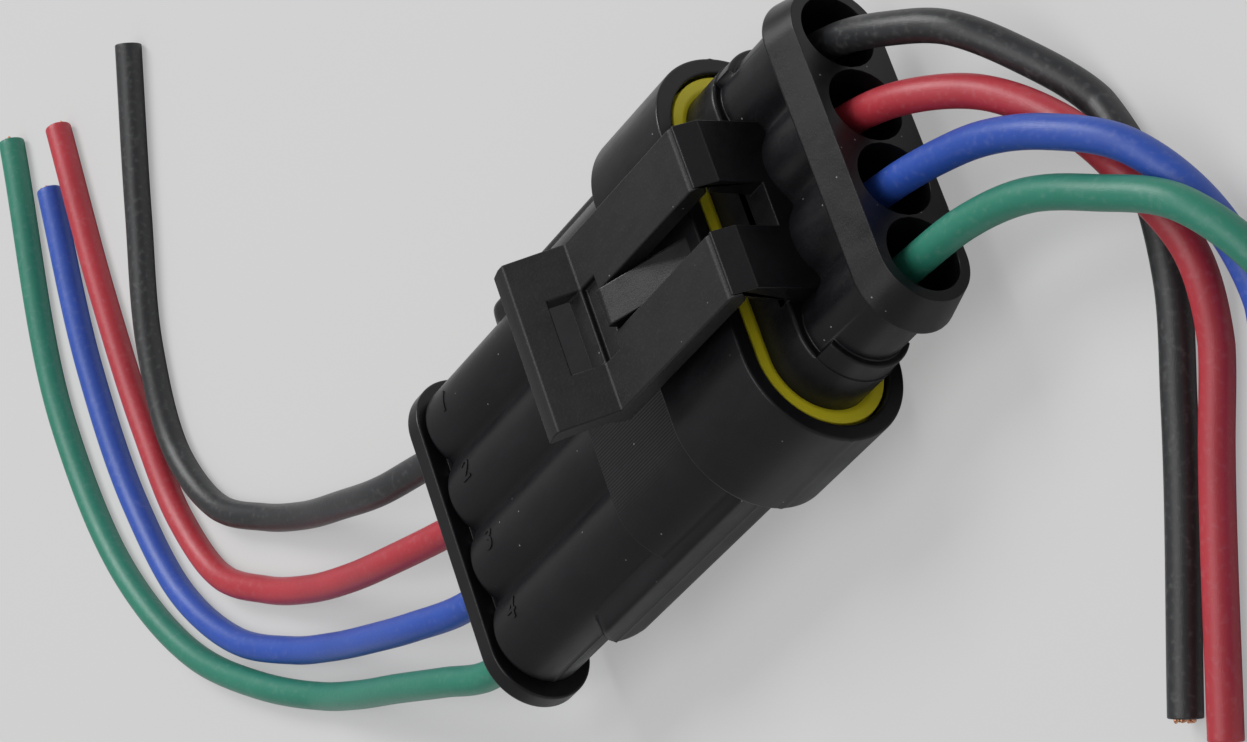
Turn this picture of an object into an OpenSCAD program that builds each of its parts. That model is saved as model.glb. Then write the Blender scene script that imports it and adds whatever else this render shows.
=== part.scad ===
// Sealed in-line wire connector with four circuits, mated, with its pigtails.
// A cap with tab contacts holds a plug with socket contacts, and a sprung lever locks the two.
// X runs from the cap's wires to the plug's wires, Y along the row of circuits, Z up.
// The origin is under the middle of the pair, on the surface that the shroud rests on.

/* [Circuits] */
// Distance between neighbouring circuits
pitch = 6; // [5.95:0.05:6.2]
// Outer diameter of a wire
wire_d = 2.4; // [2.2:0.1:2.4]
// Width of a tab contact's blade
blade_w = 1.5; // [1.2:0.1:1.6]
// Thickness of a tab contact's blade
blade_t = 0.64; // [0.5:0.02:0.8]

/* [Cap] */
// Width of the cap's rear flange
cap_flange_w = 28; // [27.6:0.2:29]
// Height of the cap's rear flange
cap_flange_h = 8.8; // [8.6:0.2:9.6]
// Thickness of the cap's rear flange
cap_flange_t = 1.6; // [1.2:0.1:2]
// Radius of the barrel round each wire seal
barrel_r = 3.9; // [3.8:0.05:4.1]
// Width of the shroud
shroud_w = 31.6; // [31.4:0.2:33]
// Height of the shroud
shroud_h = 13.6; // [13.6:0.1:14]
// Length of the shroud
shroud_len = 9.6; // [8:0.2:10]
// Thickness of the shroud's wall
shroud_wall = 1.3; // [1.2:0.05:1.4]
// Width of the middle section behind the shroud
middle_w = 27.4; // [27.2:0.2:28]
// Height of the middle section behind the shroud
middle_h = 9.6; // [9.4:0.1:10]

/* [Plug] */
// Width of the plug's rear flange
plug_flange_w = 25.6; // [25.2:0.2:27]
// Height of the plug's rear flange
plug_flange_h = 7.6; // [7.4:0.1:8]
// Thickness of the plug's rear flange
plug_flange_t = 4; // [3:0.2:4.4]
// Diameter of the wire holes in the plug's rear face
plug_mouth_d = 5.8; // [5.4:0.1:5.8]
// Clear space round the plug's nose and seal inside the cap
mating_gap = 0.3; // [0.25:0.05:0.35]
// Length of the plug that stands out of the mated cap
plug_out = 13.2; // [12.8:0.2:15]

/* [Latch] */
// Width of the lever across both arms
lever_w = 13.6; // [12:0.2:14]
// Thickness of the lever's arms
lever_t = 1.5; // [1.2:0.1:1.7]
// Width of the slot between the lever's arms
slot_w = 3.5; // [3:0.1:4]
// Height of the lever's thumb tab above its arms
tab_h = 3.7; // [2.5:0.1:4.5]

/* [Hidden] */

$fn = 96;
eps = 0.01;
circuits = 4;
wire_colors = ["#2b2c2e", "#b23a44", "#3757b8", "#2f9674"];

// Stations along X, measured from the cap's rear face
middle_x = 22;                              // rear face of the middle section
shroud_x = 33.6;                            // rear face of the shroud
mouth_x = shroud_x + shroud_len;            // mouth of the shroud
pair_len = mouth_x + plug_out;              // rear face of the plug
plug_flange_x = pair_len - plug_flange_t;   // front face of the plug's rear flange
floor_x = middle_x + 1.4;                   // bottom of the cap's mating cavity
plate_t = 1.2;                              // thickness of a lock plate
nose_x = floor_x + 2 * plate_t + 0.4;       // front face of the plug's nose
seal_x = mouth_x - 4;                       // front face of the interface seal
collar_end_x = mouth_x + 3.4;               // rear face of the plug's collar
axis_h = shroud_h / 2;                      // height of the contact row above the surface

// Sections across X
socket_w = shroud_w - 2 * shroud_wall;      // hollow of the shroud
socket_h = shroud_h - 2 * shroud_wall;
seal_rib = 0.08;                            // clearance of the seal's ribs in the shroud
collar_w = socket_w - 2.6;                  // plug section that carries the seal
collar_h = socket_h - 2.6;
nose_w = middle_w - 3.2;                    // plug's nose
nose_h = middle_h - 3.2;
neck_r = 3.55;                              // barrels of the plug's neck
web_h = 5;                                  // web that fills the valleys between barrels
cavity_r = 1.85;                            // cavity of a contact
seal_bore_r = 2.55;                         // bore of a wire seal
cap_seal_x = 1.4;                           // outer face of a wire seal in the cap
wire_seal_len = 4.6;
crimp_x = 8.2;                              // outer end of a contact's insulation grip in the cap
socket_len = 9;                             // length of a socket contact's box
sheet_t = 0.3;                              // thickness of the contacts' sheet
plug_seal_x = plug_flange_x - 2.6;          // outer face of a wire seal in the plug
plug_crimp_x = plug_seal_x - 6.8;           // outer end of a contact's insulation grip in the plug
wire_sides = 8;
wire_corner_r = 0.98 * wire_d / 2 / cos(180 / wire_sides);  // keeps an eight-sided wire's section area
wire_bore_r = wire_corner_r + 0.03;         // hole for a wire in its seal and its crimp

// Lever: its arms bend about the top of two posts on the collar
lever_z = shroud_h / 2 + 1.2;               // underside of the arms
pivot_x = mouth_x + 3.8;
pivot_z = lever_z + lever_t / 2;
pivot_r = lever_t / 2;
pivot_gap = 0.06;
bridge_x = shroud_x - 3;                    // outer end of the bridge that joins the arms
catch_x = shroud_x + 1;                     // steep face of the catch
catch_gap = 0.4;                            // from the bridge to the catch
catch_top = lever_z + 2.1;
notch_w = 6;                                // notch in the thumb tab

// Routes of the wires outside the housings, in this frame.
// Each starts on the circuit's axis and comes down to lie on the surface.
rest_z = wire_d / 2;
cap_routes = [
    [[-34, 10.2, 6.6], [-40, 11.8, 6.1], [-49, 15.4, 4.3], [-58, 19.4, 2.2], [-65, 23.2, rest_z],
     [-71.5, 28, rest_z], [-75, 35, rest_z], [-74.4, 46, rest_z], [-70, 57, rest_z], [-63.6, 71, rest_z]],
    [[-34, 4.2, 6.6], [-42, 6.5, 6], [-51, 9.7, 4.2], [-60, 13.5, 2.4], [-68, 17.8, rest_z],
     [-74, 22.4, rest_z], [-77.6, 30, rest_z], [-79, 40, rest_z], [-79.4, 54, rest_z], [-78.6, 72, rest_z]],
    [[-34, -2.2, 6.6], [-42, 0.4, 6.1], [-50, 3.6, 4.6], [-59, 7.5, 2.6], [-67, 11.4, rest_z],
     [-74.6, 16.4, rest_z], [-80.6, 24, rest_z], [-84, 35, rest_z], [-85, 50, rest_z], [-83, 68, rest_z]],
    [[-34, -8.2, 6.6], [-40, -5.6, 6.3], [-48, -2, 5], [-57, 2, 3], [-65, 6, rest_z],
     [-73.6, 11.6, rest_z], [-81.6, 18.6, rest_z], [-89, 31, rest_z], [-92, 48, rest_z], [-87, 76, rest_z]]
];
plug_routes = [
    [[33, 6, 6.7], [37, 3.4, 5.8], [40.4, -1.2, 3.4], [43, -6.6, rest_z], [44.2, -13, rest_z],
     [43, -20, rest_z], [39.4, -27.4, rest_z], [29.4, -45, rest_z]],
    [[32.6, 0.8, 6.6], [37, -1.8, 5.4], [42, -7.6, 3.9], [45.6, -14.4, 3.9], [46.6, -20.6, 2.4],
     [44.4, -26, rest_z], [41, -31.6, rest_z], [32, -48, rest_z]],
    [[33, -4.4, 6.9], [38, -6.2, 7.2], [43, -9, 7], [48, -13.4, 5.4], [50, -19.4, 3],
     [49.4, -26, rest_z], [46, -33.6, rest_z], [38, -48, rest_z]],
    [[33, -9.6, 6.8], [39, -11.4, 6.9], [45, -15, 6.9], [50.6, -19.4, 5.9], [53, -25.4, 3.6],
     [52.6, -32, rest_z], [49, -39.6, rest_z], [42, -51, rest_z]]
];

// ---------------------------------------------------------------- helpers

// Y of circuit i, counted from 1: circuit 1 lies on the +Y side
function circuit_y(i) = ((circuits + 1) / 2 - i) * pitch;

// Moves a child from the row's axis and the cap's rear face to the part's own frame
module from_axis() translate([-pair_len / 2, 0, axis_h]) children();

// Extrudes a YZ outline along X
module along_x(x0, x1) translate([x0, 0, 0]) rotate([90, 0, 90]) linear_extrude(x1 - x0) children();

// Extrudes an XZ outline along Y, centred
module along_y(w) rotate([90, 0, 0]) linear_extrude(w, center = true) children();

// A round bar along X on circuit i
module bar(i, x0, x1, r) translate([x0, circuit_y(i), 0]) rotate([0, 90, 0]) cylinder(h = x1 - x0, r = r);

// An outline with flat long sides and round ends
module stadium(w, h) {
    for (s = [-1, 1]) translate([s * (w - h) / 2, 0]) circle(d = h);
    square([w - h, h], center = true);
}

module box(x0, x1, y0, y1, z0, z1) translate([x0, y0, z0]) cube([x1 - x0, y1 - y0, z1 - z0]);

// ---------------------------------------------------------------- cap

// One barrel of the cap, with a rounded shoulder towards the flange
module cap_barrel(i) {
    shoulder = 1.6;
    start = cap_flange_t + 1.6;
    translate([0, circuit_y(i), 0]) rotate([90, 0, 90]) rotate_extrude() {
        translate([0, start + shoulder]) square([barrel_r, middle_x + 1 - start - shoulder]);
        translate([0, start]) square([barrel_r - shoulder, shoulder + eps]);
        translate([barrel_r - shoulder, start + shoulder]) circle(r = shoulder);
    }
}

// Guide rail on each narrow side, with a round rear end
module side_rail(side) {
    rail_x = 11;
    rail_r = 2.3;
    hull() {
        translate([rail_x + rail_r, side * (middle_w / 2 - rail_r), 0]) sphere(r = rail_r, $fn = 32);
        translate([middle_x + 1, side * (middle_w / 2 - rail_r), 0])
            rotate([0, 90, 0]) cylinder(h = 1, r = rail_r, $fn = 32);
    }
}

// Wedge that the lever's bridge locks behind
module latch_catch() along_y(slot_w - 0.5) polygon([
    [catch_x, shroud_h / 2 - 0.5], [catch_x, catch_top], [catch_x + 0.5, catch_top],
    [mouth_x - 1.2, shroud_h / 2], [mouth_x - 1.2, shroud_h / 2 - 0.5]
]);

module cap_housing() color("#2a2a2e") from_axis() difference() {
    union() {
        along_x(0, cap_flange_t) translate([0, -0.3]) stadium(cap_flange_w, cap_flange_h);
        along_x(0, middle_x + 1) stadium((circuits - 1) * pitch + web_h + 1, web_h);
        for (i = [1 : circuits]) cap_barrel(i);
        for (side = [-1, 1]) side_rail(side);
        along_x(middle_x, shroud_x + 1) stadium(middle_w, middle_h);
        along_x(shroud_x, mouth_x) stadium(shroud_w, shroud_h);
        latch_catch();
    }
    for (i = [1 : circuits]) {
        bar(i, -1, crimp_x - 1, seal_bore_r);
        bar(i, crimp_x - 2, floor_x - 1.2, cavity_r);
        along_x(floor_x - 2, floor_x + 1) translate([circuit_y(i), 0])
            square([blade_w + 0.2, blade_t + 0.2], center = true);
    }
    along_x(floor_x, mouth_x + 1) stadium(nose_w + 2 * mating_gap, nose_h + 2 * mating_gap);
    along_x(shroud_x + 1.2, mouth_x + 1) stadium(socket_w, socket_h);
}

// Perforated plate that holds the contacts at the bottom of the cap's cavity
module cap_lock_plate() color("#3a3a3f") from_axis() along_x(floor_x, floor_x + plate_t) difference() {
    stadium(nose_w - 0.2, nose_h - 0.2);
    for (i = [1 : circuits]) translate([circuit_y(i), 0]) square([blade_w + 0.3, blade_t + 0.3], center = true);
}

// ---------------------------------------------------------------- contacts, seals and wires

// Two crimped grips joined by a trough, along +X from the wire's side
module crimp(i) {
    grip_r = cavity_r - 0.1;
    grip = 2;                               // length of one grip
    rest = 1;                               // open trough after each grip
    length = 2 * (grip + rest);
    difference() {
        union() {
            for (k = [0, 1]) bar(i, k * (grip + rest), k * (grip + rest) + grip, grip_r);
            bar(i, rest, length, grip_r - 0.05);
        }
        bar(i, -1, length + 1, wire_bore_r);
        for (k = [0, 1]) translate([k * (grip + rest) + grip, circuit_y(i) - 2 * grip_r, -0.35 * grip_r])
            cube([rest + k, 4 * grip_r, 3 * grip_r]);
        box(-1, length + 1, circuit_y(i) - 0.1, circuit_y(i) + 0.1, 0, 2 * grip_r);
    }
}

// Tab contact: crimp, folded body and a blade with a tapered tip
module tab_contact(i) color("#b9a26a") from_axis() {
    body_x = crimp_x + 6;
    blade_end = nose_x + 0.75 * socket_len;
    translate([crimp_x, 0, 0]) crimp(i);
    difference() {
        box(body_x - 0.4, floor_x - 1.4, circuit_y(i) - 1.25, circuit_y(i) + 1.25, -1.15, 1);
        box(body_x - 1, floor_x - 1.4 - sheet_t * 4, circuit_y(i) - 0.95, circuit_y(i) + 0.95, -0.85, 0.7);
    }
    box(floor_x - 2, blade_end, circuit_y(i) - blade_w / 2, circuit_y(i) + blade_w / 2, -blade_t / 2, blade_t / 2);
    translate([blade_end, circuit_y(i), 0]) rotate([90, 0, 0])
        linear_extrude(blade_w, center = true)
            polygon([[0, -blade_t / 2], [1, -0.1], [1, 0.1], [0, blade_t / 2]]);
}

// Socket contact: open box with a sprung tongue, then its crimp
module socket_contact(i) color("#b9a26a") from_axis() {
    front = nose_x + 0.6;
    back = front + socket_len;
    half = blade_w / 2 + 0.45;
    inner = blade_w / 2 + 0.15;
    reach = blade_t / 2 + 0.45;
    difference() {
        box(front, back, circuit_y(i) - half, circuit_y(i) + half, -reach - sheet_t, reach + sheet_t);
        box(front - 1, back - 0.4, circuit_y(i) - inner, circuit_y(i) + inner, -reach, reach);
    }
    translate([front, circuit_y(i), 0]) rotate([90, 0, 0]) linear_extrude(inner * 1.4, center = true)
        polygon([[0.4, -reach - 0.1], [0.4, -reach + 0.1], [3, -blade_t / 2 - 0.12], [5.6, -reach + 0.1], [5.6, -reach - 0.1]]);
    box(back - 0.4, plug_crimp_x - 5, circuit_y(i) - 0.8, circuit_y(i) + 0.8, -cavity_r + 0.2, -cavity_r + 0.6);
    box(back - 0.4, back, circuit_y(i) - 0.8, circuit_y(i) + 0.8, -cavity_r + 0.2, 0);
    translate([plug_crimp_x, 2 * circuit_y(i), 0]) rotate([0, 0, 180]) crimp(i);
}

// Ribbed silicone sleeve that seals one wire in its bore
module wire_seal(i, x0) color("#c9c23a") from_axis() difference() {
    rib_r = seal_bore_r - 0.02;
    union() {
        bar(i, x0, x0 + wire_seal_len, seal_bore_r - 0.35);
        for (k = [0 : 2]) bar(i, x0 + 0.3 + 1.6 * k, x0 + 1.1 + 1.6 * k, rib_r);
    }
    bar(i, x0 - 1, x0 + wire_seal_len + 1, wire_bore_r);
}

// Points of a wire's axis from its contact's crimp to its free end
function cap_path(i) = concat(
    [[crimp_x + 1.8 - pair_len / 2, circuit_y(i), axis_h], [-pair_len / 2 - 1, circuit_y(i), axis_h]],
    cap_routes[i - 1]);
function plug_path(i) = concat(
    [[plug_crimp_x - 1.8 - pair_len / 2, circuit_y(i), axis_h], [pair_len / 2 - 1.6, circuit_y(i), axis_h]],
    plug_routes[i - 1]);

function unit(v) = v / norm(v);
function tangent(p, k) = unit(p[min(k + 1, len(p) - 1)] - p[max(k - 1, 0)]);
function side_of(t) = unit(cross(t, [0, 0, 1]));
function ring(c, t, r, n) = let (u = side_of(t), v = cross(u, t))
    [for (k = [0 : n - 1]) c + r * (cos(360 * (k + 0.5) / n) * u + sin(360 * (k + 0.5) / n) * v)];

// One closed tube swept through the points of a path, with its corners at radius r
module tube(path, r) {
    n = wire_sides;
    m = len(path);
    points = [for (k = [0 : m - 1]) each ring(path[k], tangent(path, k), r, n)];
    sides = [for (k = [0 : m - 2], j = [0 : n - 1])
        [k * n + j, k * n + (j + 1) % n, (k + 1) * n + (j + 1) % n, (k + 1) * n + j]];
    first = [for (j = [n - 1 : -1 : 0]) j];
    last = [for (j = [0 : n - 1]) (m - 1) * n + j];
    polyhedron(points = points, faces = concat(sides, [first, last]), convexity = 6);
}

module cap_wire(i) color(wire_colors[i - 1]) tube(cap_path(i), wire_corner_r);
module plug_wire(i) color(wire_colors[i - 1]) tube(plug_path(i), wire_corner_r);

// ---------------------------------------------------------------- plug

// Post that carries one arm of the lever, with a round seat for the arm's end
module lever_post(side) {
    arm_w = (lever_w - slot_w) / 2;
    translate([0, side * (slot_w + arm_w) / 2, 0]) along_y(arm_w) difference() {
        polygon([
            [pivot_x - 0.2, collar_h / 2 - 1], [pivot_x + 1.5, collar_h / 2 - 1],
            [pivot_x + 1.5, lever_z - 0.1], [pivot_x + 0.6, lever_z + lever_t], [pivot_x - 0.2, lever_z + lever_t]
        ]);
        translate([pivot_x, pivot_z]) circle(r = pivot_r + pivot_gap);
        translate([pivot_x - 2, lever_z - 0.1]) square([2, 3]);
        translate([pivot_x - 2, pivot_z]) square([2.3, 3]);
    }
}

module plug_housing() color("#2a2a2e") from_axis() difference() {
    union() {
        along_x(nose_x, seal_x + 1) stadium(nose_w, nose_h);
        along_x(seal_x, collar_end_x) stadium(collar_w, collar_h);
        for (side = [-1, 1]) intersection() {
            along_x(collar_end_x - 1, collar_end_x + 1.8) stadium(collar_w, collar_h);
            translate([0, side * collar_w / 2, 0]) cube([2 * pair_len, 0.16 * collar_w, 0.95 * collar_h], center = true);
        }
        box(collar_end_x - 1, pivot_x + 1.5, -lever_w / 2, lever_w / 2, 0, collar_h / 2);
        for (i = [1 : circuits]) bar(i, collar_end_x - 1, plug_flange_x + 1, neck_r);
        along_x(collar_end_x - 1, plug_flange_x + 1) stadium((circuits - 1) * pitch + web_h, web_h - 0.4);
        along_x(plug_flange_x, pair_len) stadium(plug_flange_w, plug_flange_h);
        for (side = [-1, 1]) lever_post(side);
    }
    for (i = [1 : circuits]) {
        bar(i, plug_seal_x + wire_seal_len / 2, pair_len + 1, plug_mouth_d / 2);
        bar(i, plug_crimp_x - 1.4, pair_len, seal_bore_r);
        bar(i, nose_x + 0.6, plug_crimp_x, cavity_r);
        along_x(nose_x - 1, nose_x + 1) translate([circuit_y(i), 0])
            square([blade_w + 0.6, blade_t + 0.6], center = true);
    }
}

// Perforated plate on the plug's nose that locks the socket contacts
module plug_lock_plate() color("#3a3a3f") from_axis() along_x(nose_x - plate_t, nose_x) difference() {
    stadium(nose_w - 0.4, nose_h - 0.4);
    for (i = [1 : circuits]) translate([circuit_y(i), 0]) square([blade_w + 0.6, blade_t + 0.6], center = true);
}

// Ribbed ring that seals the plug in the shroud
module interface_seal() color("#f0dc14") from_axis() difference() {
    union() {
        along_x(seal_x, mouth_x - 0.2) stadium(socket_w - 1, socket_h - 1);
        for (k = [0 : 2]) along_x(seal_x + 0.3 + 1.35 * k, seal_x + 1.1 + 1.35 * k)
            stadium(socket_w - 2 * seal_rib, socket_h - 2 * seal_rib);
    }
    along_x(seal_x - 1, mouth_x + 1) stadium(collar_w, collar_h);
}

// Lever: two arms, the bridge that locks behind the catch, and a leaning thumb tab
module latch_lever() color("#2a2a2e") from_axis() {
    bridge_end = catch_x - catch_gap;
    top = lever_z + lever_t;
    lean = 0.8 * tab_h;
    arm_w = (lever_w - slot_w) / 2;
    for (side = [-1, 1]) translate([0, side * (slot_w + arm_w) / 2, 0]) along_y(arm_w) {
        translate([bridge_x + 1, lever_z]) square([pivot_x - bridge_x - 1, lever_t]);
        translate([pivot_x, pivot_z]) circle(r = pivot_r);
    }
    difference() {
        along_y(lever_w + 0.4) polygon([
            [bridge_x + 0.4, lever_z], [bridge_end, lever_z], [bridge_end, top], [bridge_x + 1.8, top],
            [bridge_x + 1.8 - lean, top + tab_h], [bridge_x + 0.7 - lean, top + tab_h - 0.3],
            [bridge_x, lever_z + 0.7]
        ]);
        // Shallow recess in the bridge and the opening in the tab above it
        box(bridge_x + 1.2, bridge_end + 1, -notch_w / 2, notch_w / 2, top - 0.5, top + 1);
        box(bridge_x - 3, bridge_x + 3, -notch_w / 2, notch_w / 2, top - 0.1, top + 1);
        translate([bridge_x + 1.3, 0, top - 0.2]) rotate([0, -atan(lean / tab_h), 0])
            translate([-0.4, -notch_w / 2, 0]) cube([2, notch_w, 0.52 * tab_h]);
    }
}

// ---------------------------------------------------------------- nodes

cap_housing();
cap_lock_plate();
tab_contact(1);  // tab_contact_1
tab_contact(2);  // tab_contact_2
tab_contact(3);  // tab_contact_3
tab_contact(4);  // tab_contact_4
wire_seal(1, cap_seal_x);  // cap_wire_seal_1
wire_seal(2, cap_seal_x);  // cap_wire_seal_2
wire_seal(3, cap_seal_x);  // cap_wire_seal_3
wire_seal(4, cap_seal_x);  // cap_wire_seal_4
cap_wire(1);  // cap_wire_1
cap_wire(2);  // cap_wire_2
cap_wire(3);  // cap_wire_3
cap_wire(4);  // cap_wire_4
plug_housing();
plug_lock_plate();
latch_lever();
interface_seal();
socket_contact(1);  // socket_contact_1
socket_contact(2);  // socket_contact_2
socket_contact(3);  // socket_contact_3
socket_contact(4);  // socket_contact_4
wire_seal(1, plug_seal_x - wire_seal_len);  // plug_wire_seal_1
wire_seal(2, plug_seal_x - wire_seal_len);  // plug_wire_seal_2
wire_seal(3, plug_seal_x - wire_seal_len);  // plug_wire_seal_3
wire_seal(4, plug_seal_x - wire_seal_len);  // plug_wire_seal_4
plug_wire(1);  // plug_wire_1
plug_wire(2);  // plug_wire_2
plug_wire(3);  // plug_wire_3
plug_wire(4);  // plug_wire_4
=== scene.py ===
"""Looks of a sealed in-line wire connector with four circuits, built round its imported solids.

Sizes are in millimetres and are measured from the middle of the cap's rear face: X towards the plug's wires,
Y along the row of circuits, Z up. Place turns them into the frame's metres when a mesh is made.
"""
import logging
import math
from dataclasses import dataclass, field
from enum import Enum
from typing import Callable, Sequence

import bmesh
import bpy
import numpy as np
from mathutils import Matrix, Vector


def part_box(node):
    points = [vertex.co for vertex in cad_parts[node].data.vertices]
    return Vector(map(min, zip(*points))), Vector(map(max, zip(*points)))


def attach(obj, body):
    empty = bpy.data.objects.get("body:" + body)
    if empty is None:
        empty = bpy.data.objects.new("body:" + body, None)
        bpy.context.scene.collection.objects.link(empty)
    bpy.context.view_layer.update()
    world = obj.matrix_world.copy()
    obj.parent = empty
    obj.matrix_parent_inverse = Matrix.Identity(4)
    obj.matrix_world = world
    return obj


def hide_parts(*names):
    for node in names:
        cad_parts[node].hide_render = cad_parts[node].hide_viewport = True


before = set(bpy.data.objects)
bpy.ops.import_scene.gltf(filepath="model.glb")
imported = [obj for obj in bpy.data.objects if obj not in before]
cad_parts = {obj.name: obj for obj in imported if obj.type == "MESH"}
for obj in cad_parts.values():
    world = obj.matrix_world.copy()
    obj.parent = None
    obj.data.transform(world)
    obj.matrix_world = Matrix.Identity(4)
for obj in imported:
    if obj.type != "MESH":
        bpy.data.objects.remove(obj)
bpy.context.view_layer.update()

Array = np.ndarray
LOG = logging.getLogger("connector")
MM = 0.001


class Body(Enum):
    """Bodies of the connector that move by themselves."""

    CAP = "cap"
    PLUG = "plug"
    LEVER = "lever"


class Place:
    """Place of the connector's own axes in the frame."""

    def __init__(self) -> None:
        """Reads the rear of the cap and the height of the contact row from the solids."""
        low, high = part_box("plug_lock_plate")
        self.origin = np.array([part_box("cap_housing")[0].x, 0.0, (low.z + high.z) / 2])

    def metres(self, points: Array) -> Array:
        """Points in the frame, in metres.

        Args:
            points: Points in millimetres from the middle of the cap's rear face.

        Returns:
            The same points in the frame.
        """
        return np.asarray(points, float) * MM + self.origin

    def local(self, points: Array) -> Array:
        """Points of the frame, in millimetres, measured from the middle of the cap's rear face."""
        return np.asarray(points, float) - self.origin / MM


PLACE = Place()


# ------------------------------------------------------------------ shader arithmetic


class Value:
    """A socket in a node tree that takes part in arithmetic."""

    def __init__(self, shader: "Shader", socket: bpy.types.NodeSocket) -> None:
        """Wraps a socket of one shader."""
        self.shader = shader
        self.socket = socket

    def _math(self, operation: str, *inputs: "Value | float") -> "Value":
        """Adds a Math node with the given operation."""
        return self.shader.node("ShaderNodeMath", {"operation": operation}, dict(enumerate(inputs)))

    def __add__(self, other: "Value | float") -> "Value":
        """Sum."""
        return self._math("ADD", self, other)

    def __radd__(self, other: float) -> "Value":
        """Sum with a number on the left."""
        return self._math("ADD", other, self)

    def __sub__(self, other: "Value | float") -> "Value":
        """Difference."""
        return self._math("SUBTRACT", self, other)

    def __rsub__(self, other: float) -> "Value":
        """Difference with a number on the left."""
        return self._math("SUBTRACT", other, self)

    def __mul__(self, other: "Value | float") -> "Value":
        """Product."""
        return self._math("MULTIPLY", self, other)

    def __rmul__(self, other: float) -> "Value":
        """Product with a number on the left."""
        return self._math("MULTIPLY", other, self)

    def __truediv__(self, other: "Value | float") -> "Value":
        """Quotient."""
        return self._math("DIVIDE", self, other)

    def above(self, edge: float, soft: float) -> "Value":
        """Rises from 0 to 1 round an edge, over twice the soft length.

        Args:
            edge: Value at which the result is one half.
            soft: Distance from the edge to either end of the rise.

        Returns:
            The smooth step.
        """
        return self.shader.node(
            "ShaderNodeMapRange",
            {"interpolation_type": "SMOOTHSTEP"},
            {"Value": self, "From Min": edge - soft, "From Max": edge + soft},
        )

    def sine(self) -> "Value":
        """Sine of the value."""
        return self._math("SINE", self)

    def size(self) -> "Value":
        """Value without its sign."""
        return self._math("ABSOLUTE", self)


class Shader:
    """Node tree of one material, built from expressions."""

    def __init__(self, name: str) -> None:
        """Starts a material with a Principled shader.

        Args:
            name: Name of the material.
        """
        self.material = bpy.data.materials.new(name)
        self.material.use_nodes = True
        self.tree = self.material.node_tree
        self.tree.nodes.clear()
        self.output = self.tree.nodes.new("ShaderNodeOutputMaterial")
        self.surface = self.tree.nodes.new("ShaderNodeBsdfPrincipled")
        self.tree.links.new(self.surface.outputs[0], self.output.inputs["Surface"])

    def node(self, kind: str, settings: dict | None = None, inputs: dict | None = None, out: int | str = 0) -> Value:
        """Adds a node: its settings first, then its sockets.

        Args:
            kind: Type of the node.
            settings: Properties of the node, with a ramp's stops under "stops".
            inputs: Values or links of its sockets, by name or number.
            out: Output that is wanted.

        Returns:
            That output.
        """
        node = self.tree.nodes.new(kind)
        for key, value in (settings or {}).items():
            if key == "stops":
                ramp = node.color_ramp.elements
                while len(ramp) < len(value):
                    ramp.new(0.5)
                for element, (position, colour) in zip(ramp, value):
                    element.position = position
                    element.color = colour
            else:
                setattr(node, key, value)
        for key, value in (inputs or {}).items():
            if isinstance(value, Value):
                self.tree.links.new(value.socket, node.inputs[key])
            else:
                node.inputs[key].default_value = value
        return Value(self, node.outputs[out])

    def where(self) -> Value:
        """Object coordinates, which are the frame's metres."""
        return self.node("ShaderNodeTexCoord", out="Object")

    def axes(self, vector: Value) -> tuple[Value, Value, Value]:
        """The three parts of a vector."""
        node = self.node("ShaderNodeSeparateXYZ", inputs={0: vector}).socket.node
        return tuple(Value(self, node.outputs[k]) for k in range(3))

    def noise(self, vector: Value, grain: float, detail: float = 2.0, stretch: Sequence[float] = (1, 1, 1)) -> Value:
        """Noise between 0 and 1.

        Args:
            vector: Coordinates in metres.
            grain: Size of a grain, in millimetres.
            detail: Octaves of finer noise.
            stretch: Factors on the three axes: less than 1 draws the grain out.

        Returns:
            The noise.
        """
        drawn = self.node("ShaderNodeMapping", inputs={"Vector": vector, "Scale": tuple(stretch)})
        return self.node("ShaderNodeTexNoise", {}, {"Vector": drawn, "Scale": 1 / (grain * MM), "Detail": detail})

    def blend(self, factor: Value | float, first: Value | Sequence[float], second: Value | Sequence[float]) -> Value:
        """Mixes two colours.

        Args:
            factor: 0 gives the first colour, 1 the second.
            first: A colour or a link.
            second: A colour or a link.

        Returns:
            The mixed colour.
        """
        return self.node(
            "ShaderNodeMix", {"data_type": "RGBA"}, {0: factor, 6: _colour(first), 7: _colour(second)}, out=2
        )

    def bump(self, height: Value, depth: float, normal: Value | None = None, strength: float = 1.0) -> Value:
        """Normal of a surface with a height on it.

        Args:
            height: Height, from 0 to 1.
            depth: Real height of 1, in millimetres.
            normal: Normal that the height is added to.
            strength: Share of the effect that is used.

        Returns:
            The normal.
        """
        inputs: dict = {"Height": height, "Distance": depth * MM, "Strength": strength}
        if normal is not None:
            inputs["Normal"] = normal
        return self.node("ShaderNodeBump", {}, inputs)

    def set(self, **sockets: "Value | float | Sequence[float]") -> None:
        """Sets the Principled shader's sockets, named with _ for a space."""
        for key, value in sockets.items():
            socket = self.surface.inputs[key.replace("_", " ")]
            if isinstance(value, Value):
                self.tree.links.new(value.socket, socket)
            elif isinstance(value, (int, float)):
                socket.default_value = value
            else:
                socket.default_value = _colour(value)


def _colour(value: Value | Sequence[float]) -> Value | tuple[float, ...]:
    """A link as it is, or a colour with its alpha."""
    if isinstance(value, Value) or len(value) == 4:
        return value
    return (*value, 1.0)


def srgb(red: int, green: int, blue: int) -> tuple[float, float, float]:
    """Linear colour of a screen colour: each part to the power 2.4, after its offset.

    Args:
        red: Red from 0 to 255.
        green: Green from 0 to 255.
        blue: Blue from 0 to 255.

    Returns:
        The linear colour.
    """
    parts = [(c / 255) for c in (red, green, blue)]
    return tuple(c / 12.92 if c <= 0.04045 else ((c + 0.055) / 1.055) ** 2.4 for c in parts)


# ------------------------------------------------------------------ finishes


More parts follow.
